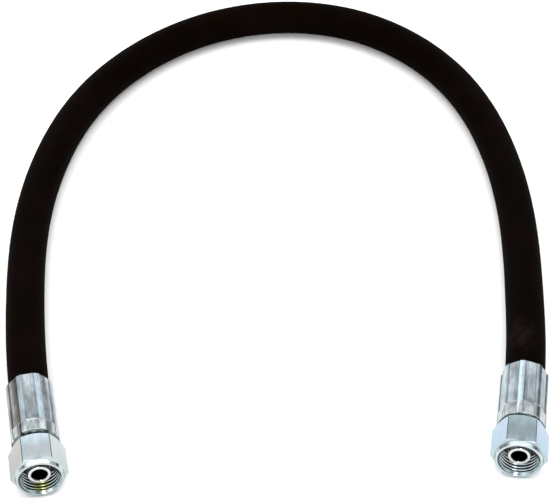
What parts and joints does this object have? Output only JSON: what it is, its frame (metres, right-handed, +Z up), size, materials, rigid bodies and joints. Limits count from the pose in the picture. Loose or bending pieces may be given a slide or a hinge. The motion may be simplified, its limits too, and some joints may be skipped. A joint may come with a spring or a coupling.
{
  "type": "hydraulic hose assembly",
  "caption": "Wire-braided hydraulic hose laid in an arch, with crimped steel ferrules and swivelling hexagon nuts over cone-seat nipples at its ends.",
  "frame": {"origin": "on the surface that it lies on, at the bottom centre of the box round the two fittings", "axes": "+X from the left fitting to the right one, +Y from the mouths towards the top of the hose's arch, +Z up from the surface"},
  "size_m": [0.2285, 0.3207, 0.019],
  "materials": {
    "cover_rubber": "matt black rubber cover with the faint cloth mark of wrapped curing",
    "lining_rubber": "smooth extruded nitrile rubber",
    "wire_braid": "brass-coated high-tensile steel wire braid",
    "ferrule_zinc": "bright bluish zinc plate, streaked along the crimp flats",
    "nipple_zinc": "bright zinc plate on turned steel",
    "nut_zinc": "bright bluish zinc plate on smooth drawn hexagon steel",
    "seal_rubber": "smooth moulded nitrile rubber",
    "spring_steel": "bright drawn spring wire"
  },
  "bodies": {
    "hose": {"hose_inner_tube": "lining_rubber", "hose_inner_braid": "wire_braid", "hose_insulation": "lining_rubber", "hose_outer_braid": "wire_braid", "hose_cover": "cover_rubber", "left_ferrule": "ferrule_zinc", "left_nipple": "nipple_zinc", "left_o_ring": "seal_rubber", "left_retaining_wire": "spring_steel", "right_ferrule": "ferrule_zinc", "right_nipple": "nipple_zinc", "right_o_ring": "seal_rubber", "right_retaining_wire": "spring_steel"},
    "left_nut": {"left_swivel_nut": "nut_zinc"},
    "right_nut": {"right_swivel_nut": "nut_zinc"}
  },
  "joints": [
    {"name": "left_nut_swivel", "type": "hinge", "parent": "hose", "child": "left_nut", "pos_m": [-0.09057, -0.01955, 0.0095], "axis": [0.1874, -0.9823, 0], "continuous": true},
    {"name": "right_nut_swivel", "type": "hinge", "parent": "hose", "child": "right_nut", "pos_m": [0.09198, -0.0102, 0.0095], "axis": [-0.1513, -0.9885, 0], "continuous": true}
  ]
}
